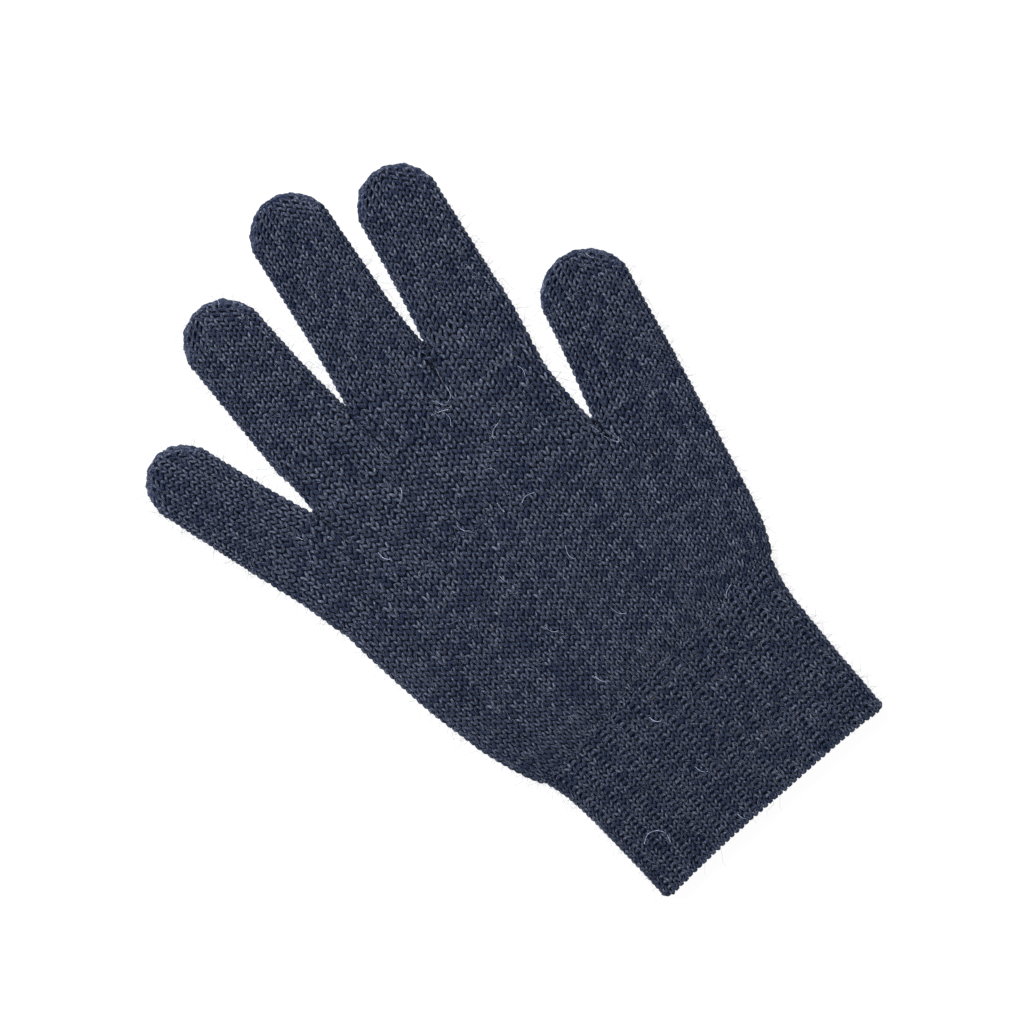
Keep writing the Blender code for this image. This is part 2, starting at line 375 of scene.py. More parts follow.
class Section:
    """A flattened tube of knit. A place on it is a share of its length and a turn, -1 to 1, over a face."""

    def __init__(self, wales, courses, thick, crown):
        self.wales, self.courses = wales, courses
        self.thick, self.crown = thick, crown
        self.ribs, self.rib_depth = 0, 0.0

    def thickness(self, share):
        return np.interp(share, np.linspace(0, 1, len(self.thick)), self.thick)

    def crowning(self, share):
        return np.interp(share, np.linspace(0, 1, len(self.crown)), self.crown)

    def reach(self, share):
        """Half the length of one face's arc, from its middle to the side."""
        half = self.line(share)[2]
        radius = np.minimum(self.thickness(share) / 2, half)
        return half - radius + radius * math.pi / 2

    def relief(self, share, turn):
        """How far the surface stands proud or sinks: the ribs of a cuff."""
        if not self.ribs:
            return np.zeros_like(turn)
        phase = ((turn + 1) / 2 * self.ribs) % 1.0
        groove = sum(np.exp(-(((phase - RIB_GROOVE + whole) / RIB_GROOVE_WIDTH) ** 2)) for whole in (0, 1))
        hump = np.sin(np.pi * np.clip(phase / RIB_GROOVE, 0, 1)) ** 0.7
        fade = (1 - ramp((share - RIB_END) / RIB_FADE)) * (0.3 + 0.7 * ramp(share / RIB_RISE))
        return (RIB_HUMP * hump - groove) * self.rib_depth * fade

    def smooth_point(self, share, turn, face):
        """A place on the tube before its relief and its folds."""
        centre, across, half = self.line(share)
        thick = self.thickness(share)
        radius = np.minimum(thick / 2, half)
        level = half - radius
        arc = turn * (level + radius * math.pi / 2)
        round_side = np.clip((np.abs(arc) - level) / radius, 0, math.pi / 2)
        along = np.sign(arc) * (np.minimum(np.abs(arc), level) + radius * np.sin(round_side))
        z = thick / 2 * (1 + face * np.cos(round_side))
        z = z + self.crowning(share) * (1 - (along / half) ** 2) * z / thick
        return np.column_stack([centre + across * along[:, None], z])

    def normal(self, share, turn, face):
        step = 1e-3
        low, high = np.maximum(turn - step * 2, -1), np.minimum(turn + step * 2, 1)
        across = self.smooth_point(share, high, face) - self.smooth_point(share, low, face)
        up = self.smooth_point(share + step, turn, face) - self.smooth_point(share - step, turn, face)
        return unit(np.cross(across, up) * face[:, None])

    def point(self, share, turn, face, lift):
        """A finished place on the tube, lifted off it by lift."""
        offset = self.relief(share, turn) + lift
        raised = self.smooth_point(share, turn, face) + self.normal(share, turn, face) * offset[:, None]
        return fold(raised)

    def frame_at(self, share, turn, face, lift):
        """Place, outward normal, direction up the wale, and how far one whole share and turn would reach."""
        step = 2e-3
        low, high = np.maximum(turn - step, -1), np.minimum(turn + step, 1)
        across = self.point(share, high, face, lift) - self.point(share, low, face, lift)
        up = self.point(share + step, turn, face, lift) - self.point(share - step, turn, face, lift)
        normal = unit(np.cross(across, up) * face[:, None])
        width = np.linalg.norm(across, axis=1) / (high - low)
        height = np.linalg.norm(up, axis=1) / (2 * step)
        return self.point(share, turn, face, lift), normal, unit(up), width, height


RIB_GROOVE = 0.89  # where in a rib's width, from 0 to 1, the sunk purl column lies
RIB_GROOVE_WIDTH = 0.085
RIB_HUMP = 0.25  # height of a rib against its groove's depth
RIB_RISE = 0.06  # share of the cuff over which the ribs rise from its mouth
RIB_END, RIB_FADE = 0.93, 0.07  # share of the cuff where the ribs start to fade out, and over how much of it
CUT_SAMPLES = 9
PALM = {"cuff": (7.8, 7.6), "lower": (7.6, 7.4, 7.2), "upper": (7.2, 7.1), "roots": (7.1, 7.0)}
CROWN = {"cuff": (0.2, 0.9), "lower": (0.9, 1.3, 0.6), "upper": (0.6, 0.4), "roots": (0.4, 0.25)}
START_INSET = {"cuff": 0.06, "lower": 0.015, "upper": 0.015, "roots": 0.02}  # where a band's first cut lies
END_INSET = 0.015


class Band(Section):
    """A stretch of cuff or palm, whose side edges are cut from one CAD node."""

    def __init__(self, node, start, end, wales, courses, part):
        super().__init__(wales, courses, np.array(PALM[part]) * MM, np.array(CROWN[part]) * MM)
        (start_point, start_across), (end_point, end_across) = start, end
        lefts, rights = [], []
        for share in np.linspace(0, 1, CUT_SAMPLES):
            inside = START_INSET[part] + (1 - START_INSET[part] - END_INSET) * share
            across = unit(start_across * (1 - inside) + end_across * inside)
            point = start_point * (1 - inside) + end_point * inside
            left, right = cut_ends(node, point, across)
            true_point = start_point * (1 - share) + end_point * share
            lefts.append(true_point + across * left)
            rights.append(true_point + across * right)
        self.lefts, self.rights = np.array(lefts), np.array(rights)

    def line(self, share):
        left, right = smooth_through(self.lefts, share), smooth_through(self.rights, share)
        return (left + right) / 2, unit(right - left), np.linalg.norm(right - left, axis=1) / 2


ROOT_TURN = 0.3  # part of a digit's length over which its courses turn from the palm's to its own direction
TIP_POWER = 1.9  # 2 would make a fingertip's outline an ellipse
TIP_THIN = 0.45  # a fingertip's thickness at its very end, against the finger's
TIP_REACH = {"little": 0.9 * MM, "ring": 0.8 * MM, "middle": 0.4 * MM, "index": -0.2 * MM, "thumb": 0.8 * MM}
TIP_HALF = 3.2 * MM  # half the width of the blunt end
DIGIT_THICK, DIGIT_CROWN = (7.0, 7.0), (0.25, 0.5)


class Digit(Section):
    """A finger or the thumb, from its root joint to its rounded end."""

    def __init__(self, name, wales, course, tip_round):
        root = flat(JOINTS[f"{name}_root_bend"]["pos_m"])
        beyond = flat(JOINTS[f"{name}_tip_bend"]["pos_m"])
        self.name, self.root, self.axis = name, root, unit(beyond - root)
        self.square = np.array([self.axis[1], -self.axis[0]])
        tip = np.array([vertex.co[:2] for vertex in frame["nodes"][f"{name}_tip"].data.vertices], float)
        self.length = float(((tip - root) @ self.axis).max()) + TIP_REACH[name]
        self.straight = 1 - tip_round / self.length
        left, right = cut_ends(f"{name}_lower", root + np.array([0, 0.4 * MM]), np.array([1.0, 0.0]))
        self.root_half = (right - left) / 2 * self.square[0]
        left, right = cut_ends(f"{name}_tip", root + self.axis * (self.straight * self.length), self.square)
        self.end_half = (right - left) / 2
        thick, crown = np.array(DIGIT_THICK) * MM, np.array(DIGIT_CROWN) * MM
        super().__init__(wales, round(self.length / course), thick, crown)

    def rounding(self, share):
        into = np.clip((share - self.straight) / (1 - self.straight), 0, 1)
        return (1 - into**TIP_POWER) ** (1 / TIP_POWER)

    def thickness(self, share):
        return super().thickness(share) * (TIP_THIN + (1 - TIP_THIN) * self.rounding(share))

    def line(self, share):
        share = np.asarray(share, float)
        turned = np.clip(share / ROOT_TURN, 0, 1)[:, None]
        across = unit(np.array([1.0, 0.0]) * (1 - turned) + self.square * turned)
        half = self.root_half + (self.end_half - self.root_half) * np.clip(share / self.straight, 0, 1)
        half = np.maximum(half / (across @ self.square) * self.rounding(share), TIP_HALF)
        return self.root + self.axis * (share * self.length)[:, None], across, half


# Where two roots part: name of the join's CAD node, how far its crease runs down the palm, and its lean
CROTCHES = (
    ("little_ring_join", 3.0, -0.20),
    ("ring_middle_join", 5.0, 0.05),
    ("middle_index_join", 13.0, 0.19),
    ("thumb_join", 6.0, -0.30),
)
CROTCH_DROP = 0.3 * MM  # how far below its join a crotch starts
CROTCH_WIDER = 0.45 * MM  # how far it reaches past each side of the join
SIDE_RADIUS = 3.5 * MM
FOLD_MIDDLE = 3.6 * MM  # height that a crease sinks to
CREASE_DEPTH = 0.92
CREASE_HALF = 0.75 * MM  # half the width of the line of painted shade at a crease's bottom
CREASE_ABOVE, CREASE_LOWEST = 1.5 * MM, 3 * MM  # how far past the crotch, and how low, that line reaches
YARN_LIFT = 0.4 * MM  # keeps the lowest yarn above the table
CREASE_SPREAD = 2.0 * MM  # how much wider than a finger's side a crease grows as it fades down the palm
CROTCH_REACH = 26 * MM  # how far round a crotch the two roots are drawn together
CROTCH_FADE = 9 * MM  # how far to its side they are
# The cloth's slow waves: height in millimetres, how fast each goes round along x and along y, and its start
WAVES = ((0.22, 95, 41, 0.6), (0.18, -57, 88, 1.9), (0.12, 170, -130, 0.0))
WAVE_TOP = 7 * MM  # height at which the waves are full
PRESSED = 0.955  # how flat the cloth is pressed
MOUTH_BOW = 2.4 * MM
MOUTH_TILT = 2.0 * MM  # how much higher the mouth ends on the thumb's side
MOUTH_CORNER = 1.6 * MM  # how far the mouth's corners are drawn up
CORNER_START, CORNER_WIDTH = 0.93, 0.07  # where across half the mouth a corner starts, and how wide it is
MOUTH_BOW_LENGTH = 42 * MM


def crotch_places():
    places = []
    for node, length, lean in CROTCHES:
        low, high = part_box(node)
        gap = (high.x - low.x) / 2 + CROTCH_WIDER
        places.append(((low.x + high.x) / 2, low.y - CROTCH_DROP, gap, length * MM, lean))
    return places


def fold(points):
    """Lays the creases below the crotches, the hollow of the cuff's mouth and the fabric's slow waves."""
    x, y, z = points.T.copy()
    for crotch_x, crotch_y, gap, length, lean in CROTCH_PLACES:
        line_x = crotch_x + np.minimum(y - crotch_y, 0) * lean
        off = x - line_x
        pull = np.clip(1 - np.abs(y - crotch_y) / CROTCH_REACH, 0, 1) ** 1.4
        pull = pull * np.clip(1 - (np.abs(off) - gap) / CROTCH_FADE, 0, 1)
        x = line_x + off - np.sign(off) * np.minimum(np.abs(off), gap) * pull
        near = ramp((y - (crotch_y - length)) / length) ** 0.7 * (y <= crotch_y + 0.05 * MM)
        risen = np.clip(np.abs(x - line_x) / (SIDE_RADIUS + CREASE_SPREAD * (1 - near)), 0, 1)
        sunk = near * (1 - np.sqrt(1 - (1 - risen) ** 2))
        z = FOLD_MIDDLE + (z - FOLD_MIDDLE) * (1 - sunk * CREASE_DEPTH)
    wave = sum(height * np.sin(x * across + y * up + start) for height, across, up, start in WAVES)
    z = YARN_LIFT + (z + wave * MM * np.clip(z / WAVE_TOP, 0, 1) ** 2) * PRESSED
    from_mouth = np.clip(1 - (y - FRAME_LOW.y) / MOUTH_BOW_LENGTH, 0, 1)
    across = np.clip((x - MOUTH_MIDDLE) / MOUTH_HALF, -1, 1)
    corner = MOUTH_CORNER * np.clip((np.abs(across) - CORNER_START) / CORNER_WIDTH, 0, 1) ** 2
    bow = MOUTH_BOW * (1 - across**2) + MOUTH_TILT * ramp(across)
    y = y + bow * from_mouth**2 + corner * from_mouth**12
    return np.column_stack([x, y, z])


CROTCH_PLACES = crotch_places()


def painted_crease_shade(points):
    """Painted shade for the creases: from 0 to 1, how near each point lies to the bottom of one of them."""
    x, y, z = points.T
    shade = np.zeros(len(x))
    for crotch_x, crotch_y, _, length, lean in CROTCH_PLACES:
        off = x - (crotch_x + np.minimum(y - crotch_y, 0) * lean)
        near = ramp((y - (crotch_y - length)) / length) ** 0.5
        near = near * (y < crotch_y + CREASE_ABOVE) * (z > CREASE_LOWEST)
        shade = np.maximum(shade, near * np.exp(-((off / CREASE_HALF) ** 2)))
    return shade


MOUTH_LOW, MOUTH_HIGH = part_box("cuff_edge")
MOUTH_MIDDLE, MOUTH_HALF = (MOUTH_LOW.x + MOUTH_HIGH.x) / 2, (MOUTH_HIGH.x - MOUTH_LOW.x) / 2


def across_of(joint):
    """A hinge's axis in the plane of the table, pointing to the thumb's side."""
    axis = flat(JOINTS[joint]["axis"])
    return axis if axis[0] > 0 else -axis


def level_line(node, y):
    """The middle of a CAD node at a height, and the direction straight across it."""
    low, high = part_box(node)
    return np.array([(low.x + high.x) / 2, y]), np.array([1.0, 0.0])


def between(below, above):
    """The height at which one CAD node gives way to the next."""
    return (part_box(below)[1].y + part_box(above)[0].y) / 2


def make_sections():
    """Every stretch of the glove, by name."""
    knit = bpy.context.scene.glove_knit
    wrist = (flat(JOINTS["wrist_fold"]["pos_m"]), across_of("wrist_fold"))
    thumb_y = between("five_finger_palm", "four_finger_palm")
    little_y = between("four_finger_palm", "three_finger_palm")
    finger_y = between("three_finger_palm", "ring_lower")

    def band(part, node, start, end, wales, course):
        start = start if isinstance(start, tuple) else level_line(node, start)
        end = end if isinstance(end, tuple) else level_line(node, end)
        return Band(node, start, end, wales, round(abs(end[0][1] - start[0][1]) / course), part)

    mouth = level_line("cuff_edge", MOUTH_LOW.y)
    sections = {
        "cuff": band("cuff", "cuff", mouth, wrist, knit.ribs * 3, knit.rib_course),
        "lower": band("lower", "five_finger_palm", wrist, thumb_y, knit.palm_wales, knit.course),
        "upper": band("upper", "four_finger_palm", thumb_y, little_y, knit.upper_wales, knit.course),
        "roots": band("roots", "three_finger_palm", little_y, finger_y, knit.root_wales, knit.course),
    }
    sections["cuff"].ribs, sections["cuff"].rib_depth = knit.ribs, knit.rib_depth
    for name, wales in FINGER_WALES.items():
        sections[name] = Digit(name, wales, knit.finger_course, knit.tip_round)
    return sections


# ---------------------------------------------------------------- stitches


STITCH_SINK = 0.42 * MM  # the yarn's middle lies this far under the fabric's outer face
STRAND_SIDES = 6


def finished(mesh, name):
    """Turns a mesh under construction into an object."""
    data = bpy.data.meshes.new(name)
    mesh.to_mesh(data)
    mesh.free()
    return bpy.data.objects.new(name, data)


def leg(mesh, layers, path, radii):
    """A short bent strand through path, with closed ends. Its map runs round and along it."""
    uv, sink_shade = layers
    rings = []
    for k, (point, radius) in enumerate(zip(path, radii)):
        before, after = Vector(path[max(k - 1, 0)]), Vector(path[min(k + 1, len(path) - 1)])
        ahead = (after - before).normalized()
        out = Vector((0, 0, 1))
        side = ahead.cross(out).normalized()
        out = side.cross(ahead)
        ring = []
        for s in range(STRAND_SIDES):
            angle = 2 * math.pi * s / STRAND_SIDES
            vertex = mesh.verts.new(Vector(point) + (side * math.cos(angle) + out * math.sin(angle)) * radius)
            # Painted shade: the yarn is darkened towards a leg's ends, where it dives behind its neighbours,
            # and on its underside.
            to_end = abs(k / (len(path) - 1) - 0.5) * 2
            vertex[sink_shade] = min(1.0, 0.75 * to_end**3 + 0.45 * (1 - math.sin(angle)) ** 2 * 0.5)
            ring.append(vertex)
        rings.append(ring)
    for k, (first, second) in enumerate(zip(rings, rings[1:])):
        for s in range(STRAND_SIDES):
            after = (s + 1) % STRAND_SIDES
            face = mesh.faces.new((first[s], second[s], second[after], first[after]))
            for loop, corner in zip(face.loops, ((s, k), (s, k + 1), (s + 1, k + 1), (s + 1, k))):
                loop[uv].uv = (corner[0] / STRAND_SIDES, corner[1] / (len(path) - 1))
            face.smooth = True
    mesh.faces.new(rings[0])
    mesh.faces.new(rings[-1][::-1])


def strand_object(name, strands):
    """An object of one or more short strands, each a path with its radii, in wale and course units."""
    mesh = bmesh.new()
    layers = (mesh.loops.layers.uv.new("strand"), mesh.verts.layers.float.new("sink_shade"))
    for path, radii in strands:
        leg(mesh, layers, path, radii)
    bmesh.ops.recalc_face_normals(mesh, faces=mesh.faces)
    return finished(mesh, name)


def knit_stitch():
    """The two legs of a V, which rise out of the stitch below and dive behind the one above."""
    radii = (0.10, 0.16, 0.18, 0.155, 0.09)
    path = (
        (0.07, -0.62, -0.26), (0.13, -0.36, 0.04), (0.235, 0.02, 0.16),
        (0.33, 0.38, 0.06), (0.41, 0.68, -0.24)
    )
    other = tuple((-x, y, z) for x, y, z in path)
    return strand_object("knit_stitch", ((path, radii), (other, radii)))


def purl_stitch():
    """The bump that a stitch shows on its other side."""
    radii = (0.22, 0.30, 0.32, 0.30, 0.22)
    half = ((-0.50, -0.16, -0.25), (-0.27, 0.03, -0.11))
    path = (*half, (0.0, 0.10, -0.07), *((-x, y, z) for x, y, z in reversed(half)))
    return strand_object("purl_stitch", ((path, radii),))


def edge_loop():
    """A loop seen from its head, as along a fingertip's edge."""
    radii = (0.16, 0.22, 0.25, 0.22, 0.16)
    half = ((-0.34, -0.75, 0.02), (-0.36, -0.10, 0.0))
    path = (*half, (0.0, 0.20, 0.0), *((-x, y, z) for x, y, z in reversed(half)))
    return strand_object("edge_loop", ((path, radii),))


def fibre_object(name, points, radii):
    """A three-sided fibre through points, with closed ends."""
    mesh = bmesh.new()
    rings = []
    for k, (point, radius) in enumerate(zip(points, radii)):
        ahead = (points[min(k + 1, len(points) - 1)] - points[max(k - 1, 0)]).normalized()
        side = ahead.orthogonal().normalized()
        other = ahead.cross(side)
        ways = [side * math.cos(a) + other * math.sin(a) for a in (0, 2 * math.pi / 3, 4 * math.pi / 3)]
        rings.append([mesh.verts.new(point + way * radius) for way in ways])
    for first, second in zip(rings, rings[1:]):
        bridge(mesh, first, second)
    mesh.faces.new(rings[0])
    mesh.faces.new(rings[-1])
    bmesh.ops.recalc_face_normals(mesh, faces=mesh.faces)
    return finished(mesh, name)


def loose_fibre(name, bend, curl, length):
    """A fibre that rises from the cloth and bends over."""
    steps, radius = 5, 0.048 * MM
    shares = [k / steps for k in range(steps + 1)]
    points = [Vector((math.sin(t * curl) * bend, t**2 * bend * 1.4, t)) * length for t in shares]
    return fibre_object(name, points, [radius * (1 - 0.6 * t) for t in shares])


def stray_fibre():
    """A pale fibre that lies on the cloth in a shallow curve."""
    steps, radius, length = 8, 0.055 * MM, 4.2
    lift = BACKING_OUT + 0.25 * MM
    points = []
    for t in (k / steps for k in range(steps + 1)):
        rise = Vector((0, 0, lift + 0.35 * MM * math.sin(t * math.pi)))
        points.append(Vector((math.sin(t * 2.6), (t - 0.5) * length, 0)) * MM + rise)
    return fibre_object("stray_fibre", points, [radius] * len(points))


class Stitches:
    """Places for stitches, gathered for one piece."""

    def __init__(self):
        self.places, self.normals, self.ups, self.sizes, self.kinds = [], [], [], [], []

    def add(self, places, normals, ups, widths, heights, kind):
        self.places.append(places)
        self.normals.append(normals)
        self.ups.append(ups)
        self.sizes.append(np.column_stack([widths, heights, (widths + heights) / 2]))
        self.kinds.append(np.full(len(places), kind))

    def to_object(self, name):
        data = bpy.data.meshes.new(name)
        data.from_pydata(np.concatenate(self.places).tolist(), [], [])
        vectors = {"out_of_cloth": self.normals, "up_wale": self.ups, "size": self.sizes}
        for attribute, values in vectors.items():
            layer = data.attributes.new(attribute, "FLOAT_VECTOR", "POINT")
            layer.data.foreach_set("vector", np.concatenate(values).astype(np.float32).ravel())
        layer = data.attributes.new("kind", "INT", "POINT")
        layer.data.foreach_set("value", np.concatenate(self.kinds).astype(np.int32))
        made = bpy.data.objects.new(name, data)
        bpy.context.collection.objects.link(made)
        return made


RIB_COLUMNS = ((0.20, KNIT, 1.24), (0.60, KNIT, 1.24), (0.90, PURL, 1.02))  # place in a rib, kind, width
TIP_EDGE = 1.2 * MM  # bare end of a digit, which the edge loops cover
SIDE_CLEAR, TIP_CLEAR = 0.3, 0.6  # bare share of a column at a digit's sides, and round its end


def columns_of(section):
    """Middle of each column from 0 to 1 across a face, its kind, and its width against an even share."""
    if section.ribs:
        return [((rib + place) / section.ribs, kind, width)
                for rib in range(section.ribs) for place, kind, width in RIB_COLUMNS]
    return [((k + 0.5) / section.wales, KNIT, 1.0) for k in range(section.wales)]


def knit_rows(stitches, section, start, end):
    """Stitches on every course of the section whose middle lies from start to end."""
    shares = (np.arange(section.courses) + 0.5) / section.courses
    shares = shares[(shares >= start) & (shares < end)]
    columns = columns_of(section)
    turns = np.array([place * 2 - 1 for place, _, _ in columns])
    for kind in (KNIT, PURL):
        chosen = [i for i, column in enumerate(columns) if column[1] == kind]
        if not chosen or not len(shares):
            continue
        share, turn = (grid.ravel() for grid in np.meshgrid(shares, turns[chosen], indexing="ij"))
        width_share = np.tile([columns[i][2] for i in chosen], len(shares))
        if isinstance(section, Digit):
            full = section.reach(np.array([section.straight]))[0]
            past = share > section.straight
            turn = np.where(past, turn * full / section.reach(share), turn)
            top = 1 - TIP_EDGE / section.length
            clear = np.where(past, TIP_CLEAR, SIDE_CLEAR) / section.wales
            kept = (np.abs(turn) < 1 - clear) & (share < top)
            share, turn, width_share = share[kept], turn[kept], width_share[kept]
        for face in (1.0, -1.0):
            side = np.full(len(share), face)
            lift = np.full(len(share), -STITCH_SINK)
            place, normal, up, width, height = section.frame_at(share, turn, side, lift)
            pitch = width * 2 / section.wales
            if isinstance(section, Digit):
                pitch = np.where(share > section.straight, full * 2 / section.wales, pitch)
            stitches.add(place, normal, up, pitch * width_share, height / section.courses, kind)


TIP_LOOP_PITCH = 2.25 * MM
TIP_START = 0.04  # where past a digit's straight part the loops start
TIP_POINTS = 60
TIP_SMOOTH = 1.7 * MM  # how far to both sides of a loop its direction is taken from
SHOULDER_BACK, SHOULDER_IN = 1.6 * MM, 1.5 * MM  # where the loops on a fingertip's shoulder lie


def tip_edge(stitches, digit):
    """The row of loops round a fingertip, on the line where its two faces meet."""
    centre, across, half = digit.line(np.linspace(digit.straight + TIP_START, 1, TIP_POINTS))
    left, right = centre - across * half[:, None], centre + across * half[:, None]
    outline = np.concatenate([left, right[::-1]])
    lengths = np.concatenate([[0], np.cumsum(np.linalg.norm(np.diff(outline, axis=0), axis=1))])
    count = round(lengths[-1] / TIP_LOOP_PITCH)
    at = (np.arange(count) + 0.5) / count * lengths[-1]
    before, places, after = (np.column_stack([np.interp(at + step, lengths, outline[:, k]) for k in (0, 1)])
                             for step in (-TIP_SMOOTH, 0, TIP_SMOOTH))
    ahead = unit(after - before)
    outward = np.column_stack([-ahead[:, 1], ahead[:, 0], np.zeros(count)])
    upward = np.tile([0.0, 0.0, 1.0], (count, 1))
    along = (places - digit.root) @ digit.axis / digit.length
    half_thick = digit.thickness(np.clip(along, 0, 1)) / 2
    pitch = np.full(count, TIP_LOOP_PITCH)
    for rise, normal in ((0.3, upward), (-0.3, -upward)):
        inset = np.column_stack([places, half_thick * (1 + rise)]) - outward * 0.8 * MM
        stitches.add(inset, normal, outward, pitch, pitch * 0.85, LOOP)
    shoulder = digit.thickness(np.clip(along - SHOULDER_BACK / digit.length, 0, 1)) / 2
    inset = np.column_stack([places, shoulder * 1.68]) - outward * SHOULDER_IN
    stitches.add(inset, unit(upward + outward * 0.8), unit(outward - upward * 0.8), pitch, pitch, LOOP)
    for rise in (-0.75, -0.25, 0.25, 0.75):
        inset = np.column_stack([places, half_thick * (1 + rise * 0.8)])
        inset = inset - outward * (0.3 + abs(rise) * 0.35) * MM
        stitches.add(inset, outward, upward, pitch * 1.1, half_thick * 0.75, PURL)


# ---------------------------------------------------------------- backing


BACKING_OUT = 0.62 * MM
BACKING_IN = 1.25 * MM
BACKING_END = 1.1 * MM  # how far short of a digit's end its backing closes
BACKING_COURSES = 1.5  # courses to one row of the backing
END_RINGS = 9
STEPS_TO_RIB, STEPS_TO_WALE = 6, 2
UNDERSIDE = -0.5  # no fibres stand on faces that look down more than this


def shell_ring(section, share, steps, lift):
    """Points once round the tube: over the palm side from left to right, and back under the other."""
    turns = np.linspace(-1, 1, steps + 1)
    turn = np.concatenate([turns[:-1], turns[::-1][:-1]])
    face = np.concatenate([np.ones(steps), -np.ones(steps)])
    return section.point(np.full(2 * steps, share), turn, face, np.full(2 * steps, -lift))


def backing(name, parts):
    """A closed double wall behind the stitches of each part: (section, start, end, closed tip)."""
    mesh = bmesh.new()
    outside = mesh.faces.layers.float.new("outside")
    for section, start, end, closed in parts:
        steps = section.ribs * STEPS_TO_RIB if section.ribs else section.wales * STEPS_TO_WALE
        rings = max(3, round((end - start) * section.courses / BACKING_COURSES))
        shares = np.linspace(start, end, rings)
        if closed:
            into = np.linspace(0, math.pi / 2, END_RINGS)[1:]
            straight = max(section.straight, start)
            body = shares[shares <= straight]
            top = 1 - BACKING_END / section.length
            shares = np.concatenate([body, straight + (top - straight) * np.sin(into)])
        walls = []
        for lift, stations in ((BACKING_OUT, shares), (BACKING_IN, shares[:-1] if closed else shares)):
            rings = (shell_ring(section, share, steps, lift) for share in stations)
            walls.append([[mesh.verts.new(place) for place in ring] for ring in rings])
        outer, inner = walls
        for wall in walls:
            for first, second in zip(wall, wall[1:]):
                for face in bridge(mesh, first, second):
                    face[outside] = 1.0 if wall is outer else 0.0
        bridge(mesh, outer[0], inner[0])
        if closed:
            mesh.faces.new(outer[-1])
            mesh.faces.new(inner[-1])
        else:
            bridge(mesh, outer[-1], inner[-1])
    bmesh.ops.recalc_face_normals(mesh, faces=mesh.faces)
    for face in mesh.faces:
        face.smooth = True
        if face.normal.z < UNDERSIDE:
            face[outside] = 0.0
    return finished(mesh, name)


def bridge(mesh, first, second):
    """Faces between two rings of as many points."""
    made = []
    for k in range(len(first)):
        after = (k + 1) % len(first)
        made.append(mesh.faces.new((first[k], first[after], second[after], second[k])))
    return made


# ---------------------------------------------------------------- the knitting tree


FULL_TURN = 6.283
SIDE_FUZZ, TOP_FUZZ = 2.5, 1.8  # how dense fibres stand at the sides, and how much less on the top


